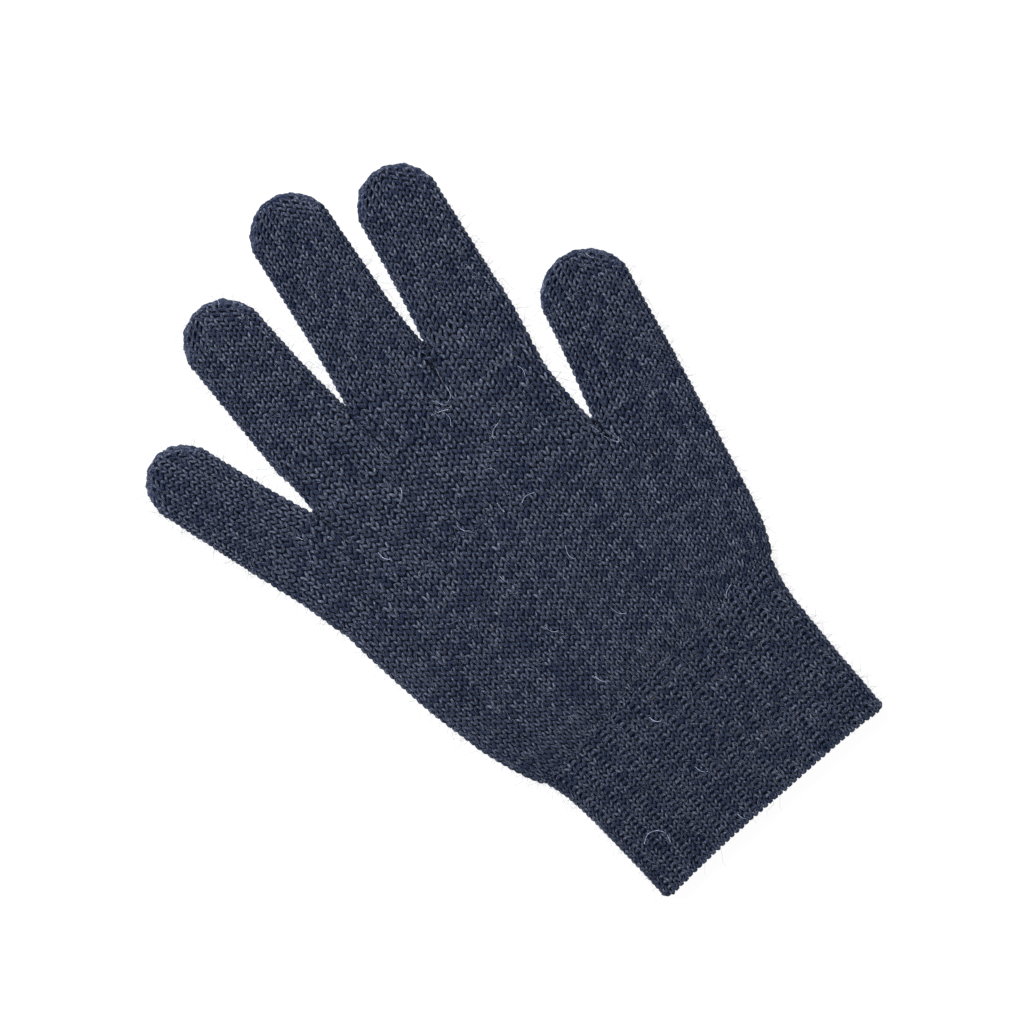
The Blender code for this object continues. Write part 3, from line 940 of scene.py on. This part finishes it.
def knitting_tree():
    """Geometry nodes that set a stitch on every place, and loose fibres on the backing."""
    tree = bpy.data.node_groups.new("Knitting", "GeometryNodeTree")
    tree.is_modifier = True
    inputs = {
        "Geometry": ("Geometry",),
        "Object": ("Backing", "Knit stitch", "Purl stitch", "Edge loop",
                   "Short fibre", "Long fibre", "Stray fibre"),
        "Float": ("Unevenness", "Fibre density", "Stray density"),
        "Int": ("Seed",),
        "Material": ("Yarn", "Backing wool in painted shade", "Fibre", "Stray wool"),
    }
    for kind, names in inputs.items():
        for name in names:
            tree.interface.new_socket(name, in_out="INPUT", socket_type="NodeSocket" + kind)
    tree.interface.new_socket("Geometry", in_out="OUTPUT", socket_type="NodeSocketGeometry")
    w = Wires(tree)
    given = w.add("NodeGroupInput")

    def attribute(name, kind="FLOAT_VECTOR"):
        return w.add("GeometryNodeInputNamedAttribute", {"Name": name}, data_type=kind)

    def shape(name):
        sockets = {"Object": given.also(name), "As Instance": True}
        return w.add("GeometryNodeObjectInfo", sockets, out="Geometry")

    def random(low, high, offset):
        vector = isinstance(low, tuple)
        sockets = {0 if vector else 2: low, 1 if vector else 3: high, "Seed": given.also("Seed") + offset}
        kind = "FLOAT_VECTOR" if vector else "FLOAT"
        return w.add("FunctionNodeRandomValue", sockets, out=0 if vector else 1, data_type=kind)

    def vectors(operation, first, second):
        sockets = {0: first, "Scale" if operation == "SCALE" else 1: second}
        return w.add("ShaderNodeVectorMath", sockets, operation=operation)

    def rotated(rotation, by):
        sockets = {"Rotation": rotation, "Rotate By": by}
        return w.add("FunctionNodeRotateRotation", sockets, rotation_space="LOCAL")

    def spread(density, seed):
        outside = attribute("outside", "FLOAT")
        sockets = {"Mesh": behind, "Selection": outside, "Density": density, "Seed": seed}
        return w.add("GeometryNodeDistributePointsOnFaces", sockets)

    def placed(points, instance, rotation, scale, **more):
        sockets = {"Points": points, "Instance": instance, "Rotation": rotation, "Scale": scale}
        return w.add("GeometryNodeInstanceOnPoints", {**sockets, **more})

    def coloured(geometry, material):
        return w.add("GeometryNodeSetMaterial", {"Geometry": geometry, "Material": given.also(material)})

    def realised(instances, material):
        return coloured(w.add("GeometryNodeRealizeInstances", {"Geometry": instances}), material)

    def joined(*parts):
        made = w.add("GeometryNodeJoinGeometry")
        for part in reversed(parts):
            tree.links.new(part.socket, made.socket.node.inputs[0])
        return made

    jitter = given.also("Unevenness")
    facing = w.add("FunctionNodeAxesToRotation",
                   {"Primary Axis": attribute("out_of_cloth"), "Secondary Axis": attribute("up_wale")},
                   primary_axis="Z", secondary_axis="Y")
    turned = rotated(facing, vectors("SCALE", random((-1, -1, -1), (1, 1, 1), 1), jitter))
    grown = vectors("ADD", vectors("SCALE", random((-1, -1, -1), (1, 1, 1), 2), jitter), (1.0, 1.0, 1.0))
    size = vectors("MULTIPLY", attribute("size"), grown)
    yarn = []
    for kind, name in ((KNIT, "Knit stitch"), (PURL, "Purl stitch"), (LOOP, "Edge loop")):
        sockets = {"A": attribute("kind", "FLOAT"), "B": float(kind), "Epsilon": 0.1}
        chosen = w.add("FunctionNodeCompare", sockets, data_type="FLOAT", operation="EQUAL")
        yarn.append(placed(given, shape(name), turned, size, Selection=chosen))
    toned = w.add("GeometryNodeStoreNamedAttribute",
                  {"Geometry": joined(*yarn), "Name": "tone", "Value": random(0.0, 1.0, 3)},
                  data_type="FLOAT", domain="INSTANCE")
    strands = realised(toned, "Yarn")

    behind = w.add("GeometryNodeObjectInfo", {"Object": given.also("Backing")}, out="Geometry")
    level = w.add("ShaderNodeSeparateXYZ", {"Vector": w.add("GeometryNodeInputNormal")}).also("Z")
    more_at_sides = SIDE_FUZZ - level.math("ABSOLUTE") * TOP_FUZZ
    spots = spread(given.also("Fibre density") * more_at_sides, given.also("Seed"))
    fibres = joined(shape("Short fibre"), shape("Short fibre"), shape("Long fibre"))
    lean = random((0.35, 0.0, 0.0), (1.3, 0.0, FULL_TURN), 4)
    fuzz = placed(spots, fibres, rotated(spots.also("Rotation"), lean), random(0.45, 1.25, 5),
                  **{"Pick Instance": True})
    few = spread(given.also("Stray density"), given.also("Seed") + 6)
    spin = random((-0.1, -0.1, 0.0), (0.1, 0.1, FULL_TURN), 7)
    strays = placed(few, shape("Stray fibre"), rotated(few.also("Rotation"), spin), random(0.5, 1.3, 8))
    everything = joined(strands, coloured(behind, "Backing wool in painted shade"), realised(fuzz, "Fibre"),
                        realised(strays, "Stray wool"))
    w.add("NodeGroupOutput", {"Geometry": everything})
    return tree


RIB_SHADE, STRAY_SHADE = 0.92, 3.2  # how bright the ribs' yarn and the pale fibres are against the rest


class Workshop:
    """What every piece of knitting shares, made once."""

    made = None

    def __init__(self):
        knit = bpy.context.scene.glove_knit
        self.sections = make_sections()
        self.tree = knitting_tree()
        self.yarn = yarn_material("navy_wool_yarn")
        self.rib_yarn = yarn_material("navy_wool_rib_yarn", RIB_SHADE)
        self.backing = backing_material("navy_wool_backing_painted_shade")
        self.fibre = hair_material("loose_wool_fibre")
        self.stray = hair_material("pale_wool_fibre", STRAY_SHADE)
        self.tools = {
            "Knit stitch": knit_stitch(), "Purl stitch": purl_stitch(), "Edge loop": edge_loop(),
            "Short fibre": loose_fibre("short_fibre", 0.5, 2.0, 2.6 * MM),
            "Long fibre": loose_fibre("long_fibre", 0.35, 5.0, 5.0 * MM),
            "Unevenness": knit.jitter, "Fibre density": knit.fibre_density, "Seed": knit.seed,
            "Stray fibre": stray_fibre(), "Stray density": knit.stray_density,
            "Backing wool in painted shade": self.backing, "Fibre": self.fibre, "Stray wool": self.stray,
        }

    @classmethod
    def open(cls):
        if cls.made is None:
            cls.made = cls()
        return cls.made

    @classmethod
    def close(cls):
        """Removes the shapes and the tree, which no finished piece needs."""
        for tool in cls.made.tools.values():
            if isinstance(tool, bpy.types.Object):
                bpy.data.meshes.remove(tool.data)
        bpy.data.node_groups.remove(cls.made.tree)
        cls.made = None

    def knit(self, name, stitches, behind, material=None):
        """Runs the tree on a set of places and keeps the result as one plain mesh."""
        host = stitches.to_object(name + "_places")
        modifier = host.modifiers.new("Knitting", "NODES")
        modifier.node_group = self.tree
        values = {**self.tools, "Backing": behind, "Yarn": material or self.yarn}
        for item in self.tree.interface.items_tree:
            if item.in_out == "INPUT" and item.name in values:
                modifier[item.identifier] = values[item.name]
        host.update_tag()
        graph = bpy.context.evaluated_depsgraph_get()
        data = bpy.data.meshes.new_from_object(host.evaluated_get(graph), depsgraph=graph)
        data.name = name
        if len(data.materials) and data.materials[0] is None:
            data.materials.pop(index=0)
        # Painted shade along the creases, kept on the mesh for the yarn's colour.
        places = np.empty(len(data.vertices) * 3)
        data.vertices.foreach_get("co", places)
        crease_line_shade = data.attributes.new("crease_line_shade", "FLOAT", "POINT")
        crease_line_shade.data.foreach_set("value", painted_crease_shade(places.reshape(-1, 3)))
        piece = bpy.data.objects.new(name, data)
        bpy.context.collection.objects.link(piece)
        host.modifiers.remove(modifier)
        bpy.data.objects.remove(host)
        bpy.data.objects.remove(behind)
        return piece


def knit_piece(name, parts, extra=None, material=None):
    """One piece of knitting over parts: (section, start, end, closed tip) each."""
    workshop = Workshop.open()
    stitches = Stitches()
    for section, start, end, closed in parts:
        knit_rows(stitches, section, start, end)
        if closed:
            tip_edge(stitches, section)
    if extra:
        extra(stitches)
    return workshop.knit(name, stitches, backing(name + "_backing", parts), material)


# ---------------------------------------------------------------- operators


WRIST_BELOW = 11 * MM  # and into the cuff
CUFF_CUTS = (0.03, 0.40, 0.78)  # where the cuff's edge, its body and the wrist start
PALM_CUTS = (0.12, 0.42, 0.71, 1.0)  # where the pieces of the palm below the thumb start and end


class GLOVE_OT_knit_cuff(bpy.types.Operator):
    """Knit the ribbed cuff and the stretch across the wrist"""

    bl_idname = "glove.knit_cuff"
    bl_label = "Knit the cuff"

    def execute(self, context):
        sections = Workshop.open().sections
        cuff, lower = sections["cuff"], sections["lower"]
        start, middle, top = CUFF_CUTS
        rib = Workshop.open().rib_yarn
        edge = knit_piece("cuff_edge_rib", [(cuff, start, middle, False)], extra=mouth_edge, material=rib)
        body = knit_piece("cuff_rib", [(cuff, middle, top, False)], material=rib)
        for piece, node, finish in ((edge, "cuff_edge", "edge_stitches"), (body, "cuff", "rib")):
            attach(piece, "cuff")
            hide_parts(node)
        parts = [(cuff, top, 1.0, False), (lower, 0.0, PALM_CUTS[0], False)]
        wrist = knit_piece("wrist_knit", parts, material=rib)
        bend_at_wrist(wrist)
        return {"FINISHED"}


def bend_at_wrist(piece):
    """Bakes the piece's placement into its mesh."""
    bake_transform(piece)


# Rows round the cuff's lip: how far each is turned in, its share of the cuff, kind and width
LIP_ROWS = ((-35, 0.012, KNIT, 1.0), (25, 0.0, KNIT, 1.0), (80, 0.004, PURL, 1.25))
LIP_START, LIP_LEAN, LIP_ROW = 0.012, 0.6, 1.6 * MM
LIP_RADIUS, LIP_SINK = 0.6 * MM, 0.95 * MM
# The rows seen inside the mouth: how many, where they start, their pitch, how deep and how high they are
LINING_ROWS, LINING_START, LINING_STEP = 5, 0.03, 0.034
LINING_SINK, LINING_ROW = 1.75 * MM, 1.9 * MM


def mouth_edge(stitches):
    """Turns the stitches over the cuff's lip and a little way inside it."""
    cuff = Workshop.open().sections["cuff"]
    turns = (np.arange(cuff.wales) + 0.5) / cuff.wales * 2 - 1

    def all_round(value):
        return np.full(len(turns), value)

    for face in (1.0, -1.0):
        side = all_round(face)
        for angle, share, kind, wide in LIP_ROWS:
            turn_in = math.radians(angle)
            lift = all_round(-LIP_SINK + LIP_RADIUS * math.cos(turn_in - math.radians(LIP_ROWS[0][0])))
            place, normal, up, width, _ = cuff.frame_at(all_round(share + LIP_START), turns, side, lift)
            leaned = unit(normal * math.cos(turn_in + LIP_LEAN) - up * math.sin(turn_in + LIP_LEAN))
            rising = unit(np.cross(np.cross(leaned, up), leaned))
            stitches.add(place, leaned, rising, width * 2 / cuff.wales * wide, all_round(LIP_ROW), kind)
        for row in range(LINING_ROWS):
            share = all_round(LINING_START + row * LINING_STEP)
            place, normal, up, width, _ = cuff.frame_at(share, turns, side, all_round(-LINING_SINK))
            stitches.add(place, -normal, up, width * 2 / cuff.wales, all_round(LINING_ROW), PURL)


class GLOVE_OT_knit_palm(bpy.types.Operator):
    """Knit the palm in its lower and upper stretch"""

    bl_idname = "glove.knit_palm"
    bl_label = "Knit the palm"

    def execute(self, context):
        sections = Workshop.open().sections
        lower, upper, roots = sections["lower"], sections["upper"], sections["roots"]
        heel, low, middle, top = PALM_CUTS
        bands = (
            ("palm_heel_knit", lower, heel, low, "five_finger_palm"),
            ("palm_low_knit", lower, low, middle, "five_finger_palm"),
            ("palm_middle_knit", lower, middle, top, "five_finger_palm"),
            ("palm_upper_knit", upper, 0.0, 1.0, "four_finger_palm"),
            ("palm_roots_knit", roots, 0.0, 1.0, "three_finger_palm"),
        )
        for name, section, start, end, node in bands:
            palm = knit_piece(name, [(section, start, end, False)])
            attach(palm, "palm")
            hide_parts(node)
        return {"FINISHED"}


CUT_AHEAD = (0.02, 0.08)  # how far before its joint a digit's second and third piece start
BEND_REACH = 0.22  # how far past its joint a piece's upper mark lies


def bend_digit(name, parts):
    """Knits a digit in one piece for each of its joints."""
    digit = Workshop.open().sections[name]
    names = [f"{name}_{what}_bend" for what in ("root", "middle", "tip")]
    joints = [JOINTS[joint] for joint in names if joint in JOINTS]
    places = [float((flat(joint["pos_m"]) - digit.root) @ digit.axis) / digit.length for joint in joints]
    starts = [0.0] + [place - ahead for place, ahead in zip(places[1:], CUT_AHEAD)]
    ends = starts[1:] + [1.0]
    for joint, start, end, place, part in zip(joints, starts, ends, places, parts):
        tip = end == 1.0
        piece = knit_piece(f"{name}_{part}_knit", [(digit, start, end, tip)])
        top = np.array([digit.straight if tip else end])
        centre, across, half = (value[0] for value in digit.line(top))
        if start == 0.0:
            low = digit.root + np.array([0, 0.2 * MM])
            corner = min((centre - across * half)[1], (centre + across * half)[1])
            high = np.array([low[0], corner - 0.3 * MM])
        else:
            low = digit.root + digit.axis * (start * digit.length + 0.3 * MM)
            high = digit.root + digit.axis * (min(place + BEND_REACH, end - 0.01) * digit.length)
        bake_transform(piece)
        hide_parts(joint["child"])


class GLOVE_OT_knit_fingers(bpy.types.Operator):
    """Knit the four fingers"""

    bl_idname = "glove.knit_fingers"
    bl_label = "Knit the fingers"

    def execute(self, context):
        for name in FINGERS:
            bend_digit(name, ("root", "middle", "tip"))
        return {"FINISHED"}


class GLOVE_OT_knit_thumb(bpy.types.Operator):
    """Knit the thumb"""

    bl_idname = "glove.knit_thumb"
    bl_label = "Knit the thumb"

    def execute(self, context):
        bend_digit("thumb", ("root", "tip"))
        return {"FINISHED"}


JOIN_SIZE = (1.0, 0.5, 0.9)  # a crotch's block of backing against its CAD node
JOIN_BEVEL = 0.3


class GLOVE_OT_join_crotches(bpy.types.Operator):
    """Link the stitches between two finger roots"""

    bl_idname = "glove.join_crotches"
    bl_label = "Link the crotches"

    def execute(self, context):
        for node, _, _ in CROTCHES:
            low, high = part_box(node)
            centre, size = (low + high) / 2, high - low
            mesh = bmesh.new()
            bmesh.ops.create_cube(mesh, size=1)
            block = Vector([part * whole for part, whole in zip(JOIN_SIZE, size)])
            bmesh.ops.scale(mesh, verts=mesh.verts, vec=block)
            bmesh.ops.bevel(mesh, geom=mesh.edges[:], offset=size.x * JOIN_BEVEL, segments=3, affect="EDGES",
                            profile=0.5)
            bmesh.ops.translate(mesh, verts=mesh.verts, vec=centre - Vector((0, size.y * 0.25, 0)))
            behind = finished(mesh, node + "_backing")
            stitches = Stitches()
            heights = np.array([0.2, 0.5, 0.8]) * size.z + low.z
            places = np.column_stack([np.full(3, centre.x), np.full(3, centre.y - size.y * 0.1), heights])
            stitches.add(places, np.tile([0.0, 0.0, 1.0], (3, 1)), np.tile([0.0, 1.0, 0.0], (3, 1)),
                         np.full(3, 2.7 * MM), np.full(3, 2.2 * MM), LOOP)
            piece = Workshop.open().knit(node + "_stitches", stitches, behind)
            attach(piece, "palm")
            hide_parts(node)
        return {"FINISHED"}


HAIR_RADIUS, HAIR_LIFT = 0.075 * MM, 0.25 * MM
HAIR_ROUNDING = 2  # how often a hair's corners are cut
# Long pale hairs caught in the knit: the body they ride on, and where they run, in millimetres
HAIRS = (
    ("palm", ((14.6, 48.5), (13.6, 45.7), (13.4, 42.6), (13.2, 40.2), (12.2, 38.6), (10.8, 38.3))),
    ("palm", ((4.1, 38.2), (6.8, 37.6), (9.3, 36.3))),
    ("palm", ((40.3, 2.6), (40.8, -1.0), (42.0, -3.5), (43.2, -5.6), (44.1, -3.8))),
    ("cuff", ((-30.6, -105.3), (-28.0, -103.4), (-24.8, -104.4), (-23.2, -107.0), (-24.0, -110.1))),
    ("palm", ((-21.0, 23.7), (-18.7, 25.0), (-17.5, 27.2))),
    ("palm", ((2.3, 4.5), (2.0, 2.4), (2.2, 1.0))),
)


def lay_hair(name, places):
    """A hair that lies on the knit along a rounded line through places."""
    graph = bpy.context.evaluated_depsgraph_get()
    points = [Vector((*place, 0)) * MM for place in places]
    for _ in range(HAIR_ROUNDING):
        cut = [a.lerp(b, share) for a, b in zip(points, points[1:]) for share in (0.25, 0.75)]
        points = [points[0], *cut, points[-1]]
    heights = []
    for point in points:
        hit, place, *_ = bpy.context.scene.ray_cast(graph, point + Vector((0, 0, 0.05)), Vector((0, 0, -1)))
        heights.append(place.z if hit else 8 * MM)
    level = np.convolve(np.pad(heights, 2, mode="edge"), np.full(5, 0.2), mode="valid")
    for point, height in zip(points, level):
        point.z = height + HAIR_LIFT
    hair = fibre_object(name, points, [HAIR_RADIUS] * len(points))
    hair.data.materials.append(Workshop.open().stray)
    bpy.context.collection.objects.link(hair)
    return hair


class GLOVE_OT_lay_hairs(bpy.types.Operator):
    """Lay a few long pale hairs on the knit"""

    bl_idname = "glove.lay_hairs"
    bl_label = "Lay the hairs"

    def execute(self, context):
        for number, (body, places) in enumerate(HAIRS, 1):
            hair = lay_hair(f"pale_hair_{number}", places)
            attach(hair, body)
        return {"FINISHED"}


class GLOVE_OT_lay_elastic(bpy.types.Operator):
    """Give the elastic threads inside the cuff their wound cover"""

    bl_idname = "glove.lay_elastic"
    bl_label = "Lay the elastic"

    def execute(self, context):
        material = elastic_material("wound_elastic")
        bends_above = flat(JOINTS["wrist_fold"]["pos_m"])[1] - WRIST_BELOW - 6 * MM
        for name, node in list(frame["nodes"].items()):
            if not name.startswith("elastic_thread"):
                continue
            node.data.materials.clear()
            node.data.materials.append(material)
            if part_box(name)[1].y > bends_above:
                thread = bpy.data.objects.new(name + "_bending", node.data.copy())
                context.collection.objects.link(thread)
                bend_at_wrist(thread)
                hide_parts(name)
        return {"FINISHED"}


LAMP_SIZE = 0.9
KEY_PLACE, RIM_PLACE = (-0.20, 0.90, 0.90), (0.5, -0.9, 0.6)


class GLOVE_OT_stage(bpy.types.Operator):
    """Set up the floor, the light and the camera"""

    bl_idname = "glove.stage"
    bl_label = "Set the stage"

    def execute(self, context):
        stage = context.scene.glove_stage
        add_floor()
        world = bpy.data.worlds.new("studio")
        context.scene.world = world
        world.use_nodes = True
        background = world.node_tree.nodes["Background"]
        background.inputs["Color"].default_value = (1.0, 1.0, 1.0, 1.0)
        background.inputs["Strength"].default_value = stage.fill
        for name, energy, place in (("key", stage.key, KEY_PLACE), ("rim", stage.rim, RIM_PLACE)):
            light = bpy.data.lights.new(name, "AREA")
            light.energy, light.size = energy, LAMP_SIZE
            lamp = bpy.data.objects.new(name, light)
            lamp.location = place
            lamp.rotation_euler = (-lamp.location).to_track_quat("-Z", "Y").to_euler()
            context.collection.objects.link(lamp)
        camera = bpy.data.cameras.new("camera")
        camera.lens = stage.lens
        view = bpy.data.objects.new("camera", camera)
        distance = stage.span / 2 / (camera.sensor_width / 2 / camera.lens)
        view.location = Vector(stage.aim) + Vector((0, 0, distance))
        view.rotation_euler = (0, 0, stage.turn)
        context.collection.objects.link(view)
        context.scene.camera = view
        context.scene.view_settings.view_transform = "Standard"
        return {"FINISHED"}


FLOOR_HALF = 3.0
FLOOR_LOW = 0.5 * MM  # how far the floor lies under the glove, clear of its lowest yarn


def add_floor():
    mesh = bmesh.new()
    bmesh.ops.create_grid(mesh, x_segments=1, y_segments=1, size=FLOOR_HALF)
    floor = finished(mesh, "floor")
    floor.location = (0, 0, -FLOOR_LOW)
    material, w, shader, place = new_material(
        "pale_floor", Specular_IOR_Level=0.1, Emission_Color=(1, 1, 1, 1), Emission_Strength=0.94
    )
    grain = w.noise(place, 30)
    colour = w.mix(grain, (0.082, 0.082, 0.083, 1), (0.090, 0.090, 0.090, 1))
    finish_material(w, shader, colour, grain * 0.1 + 0.8, grain, 0.01 * MM)
    floor.data.materials.append(material)
    bpy.context.collection.objects.link(floor)


class GLOVE_PT_panel(bpy.types.Panel):
    """The glove's steps, in order"""

    bl_label = "Knitted glove"
    bl_idname = "GLOVE_PT_panel"
    bl_space_type = "VIEW_3D"
    bl_region_type = "UI"
    bl_category = "Glove"

    def draw(self, context):
        for step in STEPS:
            self.layout.operator(step.bl_idname)
        for setting, group in SETTINGS.items():
            for name in group.__annotations__:
                self.layout.prop(getattr(context.scene, setting), name)


SETTINGS = {
    "glove_knit": GloveKnitSettings,
    "glove_wool": GloveWoolSettings,
    "glove_stage": GloveStageSettings,
}
STEPS = (
    GLOVE_OT_knit_cuff,
    GLOVE_OT_knit_palm,
    GLOVE_OT_knit_fingers,
    GLOVE_OT_knit_thumb,
    GLOVE_OT_join_crotches,
    GLOVE_OT_lay_hairs,
    GLOVE_OT_lay_elastic,
    GLOVE_OT_stage,
)


def register():
    for name, group in SETTINGS.items():
        bpy.utils.register_class(group)
        setattr(bpy.types.Scene, name, PointerProperty(type=group))
    for kind in (*STEPS, GLOVE_PT_panel):
        bpy.utils.register_class(kind)


def unregister():
    for kind in reversed((*STEPS, GLOVE_PT_panel)):
        bpy.utils.unregister_class(kind)
    for name, group in reversed(SETTINGS.items()):
        delattr(bpy.types.Scene, name)
        bpy.utils.unregister_class(group)


def main():
    register()
    for step in STEPS:
        category, name = step.bl_idname.split(".")
        getattr(getattr(bpy.ops, category), name)()
    Workshop.close()


if __name__ == "__main__":
    main()
